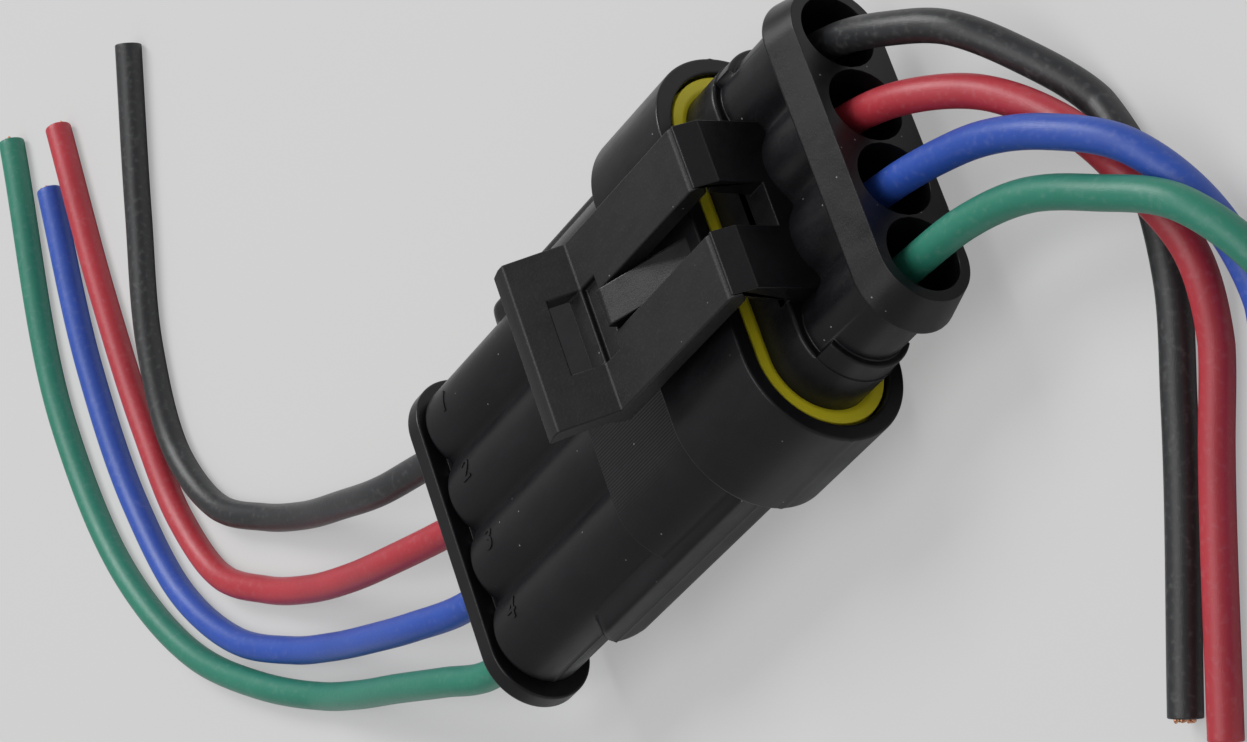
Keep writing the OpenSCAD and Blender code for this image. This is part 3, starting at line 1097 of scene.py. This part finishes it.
@dataclass
class MatingSeal:
    """Ribbed ring in the mouth of the shroud, whose face shows between the shroud and the collar."""

    finishes: Finishes
    rays: Rays
    start: float = 39.2
    end: float = 43.0
    inner_width: float = 26.4
    inner_height: float = 8.4
    outer_width: float = 28.84
    outer_height: float = 10.84

    def build(self) -> bpy.types.Object:
        """Makes the ring: its outside swells in three ribs, each a raised half wave along X.

        Returns:
            The seal.
        """
        rays = self.rays
        inner = rays.stadium(self.inner_width, self.inner_height)[0] + 0.01
        outer = rays.stadium(self.outer_width, self.outer_height)[0]
        x = np.linspace(self.start + 0.2, self.end - 0.35, 34)
        wave = 0.42 * (0.5 - 0.5 * np.cos(2 * math.pi * 3 * (x - x[0]) / (x[-1] - x[0])))
        corners = [section(self.end - 0.12, inner), section(self.start, inner), section(self.start, outer - 0.42)]
        corners += [section(at, outer - 0.42 + lift) for at, lift in zip(x, wave)]
        corners += [section(self.end - 0.3, outer - 0.1), section(self.end, outer - 0.12),
                    section(self.end, inner + 0.3), section(self.end - 0.12, inner)]
        radii = [0, 0.15, 0.2] + [0.0] * len(x) + [0, 0.2, 0.15, 0]
        rows = rays.place(rounded(np.stack(corners), radii, 4))
        seal = Shell().grid(rows, closed=True).make("mating_ring", self.finishes.seal)
        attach(seal, Body.PLUG.value)
        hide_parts("interface_seal")
        return seal


# ------------------------------------------------------------------ latch


def block(
    x_of: Array, z_of: Array, y: Sequence[float], filled: Array, name: str, material: bpy.types.Material,
    width: float = 0.3, steps: int = 3
) -> bpy.types.Object:
    """Solid of cells on a bent grid, with rounded edges.

    The grid has corners at x_of[i, j], y[k] and z_of[i, j]; a face is made wherever a filled cell meets an empty
    one, turned away from the filled cell.

    Args:
        x_of: X of each corner of the side view.
        z_of: Z of each corner of the side view.
        y: Y of each layer's edge, rising.
        filled: Which cells are solid: side view cell, side view cell and layer.
        name: Name of the object.
        material: Its finish.
        width: Width of the rounding.
        steps: Pieces of the rounding.

    Returns:
        The object, rounded by a Bevel modifier.
    """
    layers = np.asarray(y, float)
    points = np.stack([
        np.repeat(x_of[..., None], len(layers), -1),
        np.broadcast_to(layers, x_of.shape + layers.shape),
        np.repeat(z_of[..., None], len(layers), -1),
    ], axis=-1)
    index = np.arange(points[..., 0].size).reshape(points.shape[:3])
    solid = np.pad(filled.astype(bool), 1)
    faces: list[Array] = []
    for axis in range(3):
        lower = np.moveaxis(solid, axis, 0)[:-1]
        upper = np.moveaxis(solid, axis, 0)[1:]
        corner = np.moveaxis(index, axis, 0)
        quads = np.stack([corner[:, :-1, :-1], corner[:, 1:, :-1], corner[:, 1:, 1:], corner[:, :-1, 1:]], axis=-1)
        for change, turn in ((lower & ~upper, 1), (upper & ~lower, -1)):
            chosen = quads[change[:, 1:-1, 1:-1]]
            if axis == 1:
                chosen = chosen[:, ::-1]
            faces.append(chosen[:, ::turn])
    mesh = bpy.data.meshes.new(name)
    mesh.from_pydata(PLACE.metres(points.reshape(-1, 3)).tolist(), [], np.concatenate(faces).tolist())
    work = bmesh.new()
    work.from_mesh(mesh)
    bmesh.ops.delete(work, geom=[v for v in work.verts if not v.link_faces], context="VERTS")
    bmesh.ops.dissolve_limit(
        work, angle_limit=math.radians(1), verts=work.verts, edges=work.edges, delimit=set()
    )
    work.to_mesh(mesh)
    work.free()
    mesh.polygons.foreach_set("use_smooth", [True] * len(mesh.polygons))
    mesh.materials.append(material)
    obj = bpy.data.objects.new(name, mesh)
    bpy.context.scene.collection.objects.link(obj)
    bevel = obj.modifiers.new("rounding", "BEVEL")
    bevel.width = width * MM
    bevel.segments = steps
    bevel.limit_method = "ANGLE"
    bevel.angle_limit = math.radians(24)
    bevel.harden_normals = True
    return obj


@dataclass
class LatchLever:
    """Lever: two arms from the posts to the bridge behind the catch, and the leaning thumb tab."""

    finishes: Finishes
    under: float = 8.0
    top: float = 9.5
    rear: float = 30.6
    bridge_front: float = 34.2
    pivot: float = 47.0
    tab_height: float = 3.7
    lean: float = 2.96
    half_width: float = 6.9
    slot_half: float = 1.75
    notch_half: float = 3.0

    def build(self) -> bpy.types.Object:
        """Makes the lever on a grid of side view columns from the tab to the arms' ends.

        Columns run from the tab's outer face to its inner face and on along the arms; the levels above the top
        lean back in proportion to their height.

        Returns:
            The lever.
        """
        notch = 0.52 * self.tab_height
        x = np.array([self.rear, self.rear + 1.1, self.rear + 1.75, self.bridge_front, 45.6, self.pivot])
        z = np.array([self.under, self.under + 0.7, self.top - 0.5, self.top, self.top + notch,
                      self.top + self.tab_height])
        height = np.maximum(z - self.top, 0) / self.tab_height
        x_of = x[:, None] - self.lean * height[None, :]
        z_of = np.repeat(z[None, :], len(x), axis=0)
        x_of[0, 0] += 0.45
        z_of[0, -1] -= 0.3
        arm_half, arm_middle = (self.top - self.under) / 2, (self.top + self.under) / 2
        x_of[-1, :4] += np.sqrt(np.maximum(arm_half**2 - (z[:4] - arm_middle) ** 2, 0))
        y = [-self.half_width, -self.notch_half, -self.slot_half, self.slot_half, self.notch_half, self.half_width]
        filled = np.zeros((5, 5, 5), bool)
        arms = np.array([1, 1, 0, 1, 1], bool)
        inner = np.array([0, 1, 1, 1, 0], bool)
        filled[0:3, 0:3, :] = True
        filled[0:2, 3:5, :] = True
        filled[2, 2, :] = ~inner
        filled[0:2, 3, :] &= ~inner
        filled[3:5, 0:3, :] = arms
        lever = block(x_of, z_of, y, filled, "lever_body", self.finishes.lever, 0.28)
        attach(lever, Body.LEVER.value)
        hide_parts("latch_lever")
        return lever


# ------------------------------------------------------------------ wires


def smooth_path(points: Array, pieces: int) -> Array:
    """Smooth curve through points, resampled at even steps.

    Between two points the curve is the cubic with their values and the slopes of the three-point formula at
    chord-length spacing; it is then resampled by length.

    Args:
        points: Points that the curve passes, point and 3.
        pieces: Pieces of the result.

    Returns:
        Points at even steps along the curve.
    """
    chord = np.linalg.norm(np.diff(points, axis=0), axis=1)
    at = np.concatenate([[0], np.cumsum(chord)])
    slope = np.diff(points, axis=0) / chord[:, None]
    inner = (slope[:-1] * chord[1:, None] + slope[1:] * chord[:-1, None]) / (chord[:-1] + chord[1:])[:, None]
    tangent = np.concatenate([slope[:1], inner, slope[-1:]])
    fine = np.linspace(0, at[-1], 1200)
    k = np.clip(np.searchsorted(at, fine, side="right") - 1, 0, len(chord) - 1)
    t = ((fine - at[k]) / chord[k])[:, None]
    step = chord[k][:, None]
    curve = ((2 * t**3 - 3 * t**2 + 1) * points[k] + (t**3 - 2 * t**2 + t) * step * tangent[k]
             + (3 * t**2 - 2 * t**3) * points[k + 1] + (t**3 - t**2) * step * tangent[k + 1])
    length = np.concatenate([[0], np.cumsum(np.linalg.norm(np.diff(curve, axis=0), axis=1))])
    even = np.linspace(0, length[-1], pieces + 1)
    return np.stack([np.interp(even, length, curve[:, c]) for c in range(3)], axis=1)


def around(path: Array) -> tuple[Array, Array, Array]:
    """Tangent, side and lift of a path that never runs straight up: side is the tangent crossed with Z.

    Args:
        path: Points along the path.

    Returns:
        Unit tangents, sides and lifts.
    """
    tangent = np.gradient(path, axis=0)
    tangent /= np.linalg.norm(tangent, axis=1, keepdims=True)
    side = np.cross(tangent, [0.0, 0.0, 1.0])
    side /= np.linalg.norm(side, axis=1, keepdims=True)
    return tangent, side, np.cross(side, tangent)


@dataclass
class WireRun:
    """One insulated wire from its crimp to its cut end, with the strands that show there."""

    finishes: Finishes
    kind: Wire
    body: Body
    route: Sequence[tuple[float, float, float]]
    radius: float = 1.2
    core: float = 0.74
    strand: float = 0.235
    recess: float = 0.5
    out: float = 0.25

    @property
    def node(self) -> str:
        """Name of the wire's solid."""
        return f"{self.body.value}_wire_{self.kind.value}"

    def build(self) -> bpy.types.Object:
        """Makes the wire: rings of a circle along the path, a rounded cut face, and the strands in it.

        Returns:
            The insulation.
        """
        control = PLACE.local(np.array(self.route, float))
        ground = PLACE.local(np.zeros(3))[2]
        path = smooth_path(control, 234)
        path[:, 2] = np.maximum(path[:, 2], ground + self.radius)
        tangent, side, lift = around(path)
        angle = np.linspace(0, 2 * math.pi, 25)[:-1]
        circle = np.cos(angle)[:, None] * side[:, None] + np.sin(angle)[:, None] * lift[:, None]
        length = np.concatenate([[0], np.cumsum(np.linalg.norm(np.diff(path, axis=0), axis=1))])
        cut, turn = 0.1, np.linspace(0, math.pi / 2, 5)
        radii = np.concatenate([
            self.radius - cut * (1 - np.cos(turn)), [self.core + 0.08, self.core, self.core, 0.0]
        ])
        ahead = np.concatenate([cut * np.sin(turn), [cut, cut - 0.06, -self.recess, -self.recess]]) - cut
        end = path[-1] + ahead[:, None, None] * tangent[-1] + radii[:, None, None] * circle[-1]
        start = path[0] + np.array([0.0, self.radius])[:, None, None] * circle[0]
        rows = np.concatenate([start, path[1:-1, None] + self.radius * circle[1:-1], end])
        along = np.concatenate([[0, 0], length[1:-1], length[-1] + ahead])
        uv = np.stack(np.broadcast_arrays(0.1 * along[:, None], angle / (2 * math.pi)), axis=-1)
        wire = Shell().grid(rows[:, ::-1], closed=True, uv=uv[:, ::-1]).make(
            self.node + "_sleeve", self.finishes.wires[self.kind], sharp=50, uv="wire"
        )
        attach(wire, self.body.value)
        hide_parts(self.node)
        strands = self.strands(path[-1], tangent[-1], side[-1], lift[-1])
        2 * self.radius * MM
        return wire

    def strands(self, tip: Array, ahead: Array, side: Array, lift: Array) -> bpy.types.Object:
        """Makes the conductor's end: one strand with six round it and twelve outside, each a short twisted rod.

        A strand's middle turns round the wire's axis in proportion to the way along it, and its end is a dome.

        Args:
            tip: Middle of the cut face.
            ahead: Direction of the wire there.
            side: Direction to its side.
            lift: Direction across both.

        Returns:
            The strands.
        """
        rng = np.random.default_rng(self.kind.value * 7 + len(self.body.value))
        layer = np.concatenate([[0.0], np.full(6, 1.0), np.full(12, 2.0)])
        where = np.concatenate([[0.0], np.arange(6) / 6, np.arange(12) / 12]) * 2 * math.pi
        size = self.core / 5.0 * 1.02
        reach = self.out * rng.uniform(0.2, 1.0, len(layer)) - (self.out < 0) * 0.1
        lean = rng.normal(0, 0.03, (len(layer), 2))
        angle = np.linspace(0, 2 * math.pi, 9)[:-1]
        shell = Shell()
        for ring, at, far, tilt in zip(layer, where, reach, lean):
            x = np.concatenate([np.linspace(-1.4, far - 0.05, 10), far - 0.05 + size * np.array([0.45, 0.8, 1.0])])
            r = size * np.concatenate([np.ones(10), [0.86, 0.5, 0.0]])
            spin = at + 0.5 * x
            spread = 2 * size * ring
            rise = np.clip(x + 0.2, 0, None)
            middle = (tip + x[:, None] * ahead
                      + (spread * np.cos(spin) + tilt[0] * rise * 8)[:, None] * side
                      + (spread * np.sin(spin) + tilt[1] * rise * 8)[:, None] * lift)
            ringed = np.cos(angle)[:, None] * side + np.sin(angle)[:, None] * lift
            rod = middle[:, None] + r[:, None, None] * ringed[None]
            rod = np.concatenate([middle[:1, None] + 0 * ringed[None], rod])
            shell.grid(rod[:, ::-1], closed=True)
        strands = shell.make(self.node + "_strands", self.finishes.copper, weld=0.0005)
        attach(strands, self.body.value)
        return strands


CAP_ROUTES = {
    Wire.BLACK: [(-34, 10.2, 6.6), (-40, 11.8, 6.1), (-49, 15.4, 4.3), (-58, 19.4, 2.2), (-65, 23.2, 1.2),
                 (-71.5, 28, 1.2), (-75, 35, 1.2), (-74.4, 46, 1.2), (-70, 57, 1.2), (-63.6, 71, 1.2)],
    Wire.RED: [(-34, 4.2, 6.6), (-42, 6.5, 6), (-51, 9.7, 4.2), (-60, 13.5, 2.4), (-68, 17.8, 1.2),
               (-74, 22.4, 1.2), (-77.6, 30, 1.2), (-79, 40, 1.2), (-79.4, 54, 1.2), (-78.6, 72, 1.2)],
    Wire.BLUE: [(-34, -2.2, 6.6), (-42, 0.4, 6.1), (-50, 3.6, 4.6), (-59, 7.5, 2.6), (-67, 11.4, 1.2),
                (-74.6, 16.4, 1.2), (-80.6, 24, 1.2), (-84, 35, 1.2), (-85, 50, 1.2), (-83, 68, 1.2)],
    Wire.GREEN: [(-34, -8.2, 6.6), (-40, -5.6, 6.3), (-48, -2, 5), (-57, 2, 3), (-65, 6, 1.2),
                 (-73.6, 11.6, 1.2), (-81.6, 18.6, 1.2), (-89, 31, 1.2), (-92, 48, 1.2), (-87, 76, 1.2)],
}
PLUG_ROUTES = {
    Wire.BLACK: [(33, 6, 6.7), (37, 3.4, 5.8), (40.4, -1.2, 3.4), (43, -6.6, 1.2), (44.2, -13, 1.2),
                 (43, -20, 1.2), (39.4, -27.4, 1.2), (29.4, -45, 1.2)],
    Wire.RED: [(32.6, 0.8, 6.6), (37, -1.8, 5.4), (42, -7.6, 3.9), (45.6, -14.4, 3.9), (46.6, -20.6, 2.4),
               (44.4, -26, 1.2), (41, -31.6, 1.2), (32, -48, 1.2)],
    Wire.BLUE: [(33, -4.4, 6.9), (38, -6.2, 7.2), (43, -9, 7), (48, -13.4, 5.4), (50, -19.4, 3),
                (49.4, -26, 1.2), (46, -33.6, 1.2), (38, -48, 1.2)],
    Wire.GREEN: [(33, -9.6, 6.8), (39, -11.4, 6.9), (45, -15, 6.9), (50.6, -19.4, 5.9), (53, -25.4, 3.6),
                 (52.6, -32, 1.2), (49, -39.6, 1.2), (42, -51, 1.2)],
}


@dataclass
class WireLoom:
    """The eight wires, four to each housing."""

    finishes: Finishes
    rays: Rays
    height: float = 6.8

    def build(self) -> list[bpy.types.Object]:
        """Makes all wires on the routes of their solids.

        Returns:
            The wires.
        """
        made: list[bpy.types.Object] = []
        for kind in Wire:
            y = self.rays.circuit(kind.value)
            out = -0.7 if kind is Wire.BLACK else 0.25
            cap = [(-18.2, y, self.height), (-29.2, y, self.height), *CAP_ROUTES[kind]]
            plug = [(13.0, y, self.height), (26.6, y, self.height), *PLUG_ROUTES[kind]]
            made.append(WireRun(self.finishes, kind, Body.CAP, cap, out=out, recess=max(0.5, -out + 0.4)).build())
            made.append(WireRun(self.finishes, kind, Body.PLUG, plug).build())
        return made


# ------------------------------------------------------------------ solids that stay


def dress_solids(finishes: Finishes) -> None:
    """Gives the solids that stay their finishes.

    Args:
        finishes: The materials.
    """
    choice = {"tab_contact": finishes.tin, "socket_contact": finishes.tin, "wire_seal": finishes.wire_seal,
              "lock_plate": finishes.plate}
    for name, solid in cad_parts.items():
        for part, material in choice.items():
            if part in name:
                solid.data.materials.clear()
                solid.data.materials.append(material)


# ------------------------------------------------------------------ studio


@dataclass
class Studio:
    """Floor, soft lights and the camera."""

    floor_tone: float = 0.617
    lens: float = 129.9
    position: tuple[float, float, float] = (0.22645, -0.13585, 0.19685)
    right: tuple[float, float, float] = (0.4904, -0.3006, -0.8180)
    up: tuple[float, float, float] = (0.5148, 0.8573, -0.0063)
    back: tuple[float, float, float] = (0.7032, -0.4181, 0.5751)

    def camera(self) -> None:
        """Makes the camera: turned on its side, so that the pair lies across the picture."""
        data = bpy.data.cameras.new("camera")
        data.lens = self.lens
        data.sensor_width = 36.0
        data.clip_start, data.clip_end = 0.005, 20.0
        camera = bpy.data.objects.new("camera", data)
        turn = np.array([self.right, self.up, self.back]).T
        u, _, v = np.linalg.svd(turn)
        matrix = Matrix((u @ v).tolist()).to_4x4()
        matrix.translation = self.position
        camera.matrix_world = matrix
        bpy.context.scene.collection.objects.link(camera)
        bpy.context.scene.camera = camera

    def floor(self) -> None:
        """Makes the ground as one flat sheet under the connector."""
        side = 1500.0
        low = PLACE.local(np.zeros(3))[2]
        x, y = np.meshgrid(np.linspace(-side, side, 9), np.linspace(-side, side, 9), indexing="ij")
        sheet = np.stack([x, y, np.full_like(x, low)], axis=-1)
        ground = Shell().grid(sheet[:, ::-1]).make("ground", Floor("ground_pale", self.floor_tone).make())

    def lamp(self, name: str, at: Sequence[float], size: tuple[float, float], watts: float) -> None:
        """Adds a soft lamp that points at the connector.

        Args:
            name: Name of the lamp.
            at: Its place, in metres.
            size: Its width and height, in metres.
            watts: Its power.
        """
        data = bpy.data.lights.new(name, "AREA")
        data.shape = "RECTANGLE"
        data.size, data.size_y = size
        data.energy = watts
        lamp = bpy.data.objects.new(name, data)
        back = np.array(at, float)
        back /= np.linalg.norm(back)
        side = np.cross([0.0, 1.0, 0.01], back)
        side /= np.linalg.norm(side)
        matrix = Matrix(np.stack([side, np.cross(back, side), back], axis=1).tolist()).to_4x4()
        matrix.translation = at
        lamp.matrix_world = matrix
        bpy.context.scene.collection.objects.link(lamp)

    def world(self, level: float) -> None:
        """Makes the surroundings an even grey.

        Args:
            level: Brightness of the grey.
        """
        world = bpy.data.worlds.new("surroundings")
        world.use_nodes = True
        bpy.context.scene.world = world
        background = world.node_tree.nodes["Background"]
        background.inputs["Color"].default_value = (level, level, level, 1.0)
        background.inputs["Strength"].default_value = 1.0

    def build(self) -> None:
        """Makes the whole studio."""
        bpy.context.scene.view_settings.view_transform = "Standard"
        self.camera()
        self.floor()
        self.world(0.3)
        self.lamp("key", (-0.05, 0.62, 0.62), (0.5, 0.35), 4.7)
        self.lamp("top", (0.1, -0.1, 0.9), (0.7, 0.7), 3.4)


def main() -> None:
    """Builds the studio and each sub-assembly."""
    logging.basicConfig(level=logging.INFO, format="%(message)s")
    Studio().build()
    finishes = Finishes()
    rays = Rays()
    wires = WireLoom(finishes, rays).build()
    LOG.info("wires: %s", ", ".join(wire.name for wire in wires))
    for part in (CapHousing(finishes, rays), PlugHousing(finishes, rays), MatingSeal(finishes, rays),
                 LatchLever(finishes)):
        made = part.build()
        LOG.info("%s: %d faces", made.name, len(made.data.polygons))
    dress_solids(finishes)


if __name__ == "__main__":
    main()
